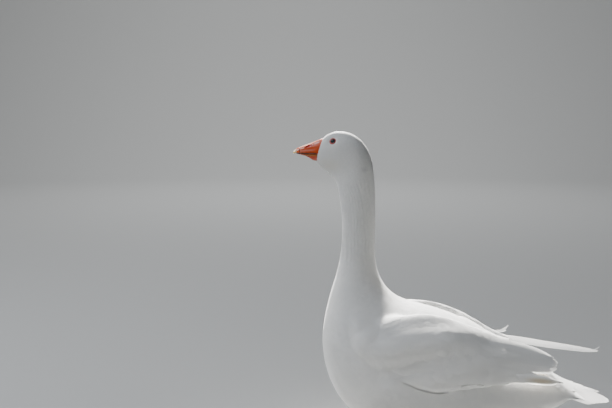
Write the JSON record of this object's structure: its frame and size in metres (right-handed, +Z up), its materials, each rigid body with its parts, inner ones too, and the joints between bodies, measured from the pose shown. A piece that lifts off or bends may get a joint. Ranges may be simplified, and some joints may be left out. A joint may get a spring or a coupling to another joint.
{
  "type": "domestic goose",
  "caption": "White domestic goose standing upright with folded wings, orange bill and webbed feet; a still life-size animal model.",
  "frame": {"origin": "on the floor under the middle of the whole bird's box", "axes": "+Z up; the bill points to -X and the tail to +X; the bird's left side is -Y"},
  "size_m": [0.6308, 0.2498, 0.7004],
  "materials": {
    "plumage": "soft matt white feathers, a little cream towards the wing tips",
    "bill": "satin orange horn and skin",
    "bill_nail": "pale horn, satin",
    "eye": "wet gloss, dark blue iris and black pupil",
    "leg_skin": "matt orange skin with small scales",
    "claw": "pale brown horn"
  },
  "bodies": {
    "root": {"head": "plumage", "neck_upper": "plumage", "neck_lower": "plumage", "trunk": "plumage", "tail": "plumage", "wing_left": "plumage", "wing_right": "plumage", "tertials_left": "plumage", "tertials_right": "plumage", "primaries_left": "plumage", "primaries_right": "plumage", "thigh_left": "plumage", "thigh_right": "plumage", "bill_upper": "bill", "bill_lower": "bill", "bill_nail": "bill_nail", "eye_left": "eye", "eye_right": "eye", "shank_left": "leg_skin", "shank_right": "leg_skin", "foot_left": "leg_skin", "foot_right": "leg_skin", "claw_inner_left": "claw", "claw_middle_left": "claw", "claw_outer_left": "claw", "claw_hind_left": "claw", "claw_inner_right": "claw", "claw_middle_right": "claw", "claw_outer_right": "claw", "claw_hind_right": "claw"}
  },
  "joints": []
}
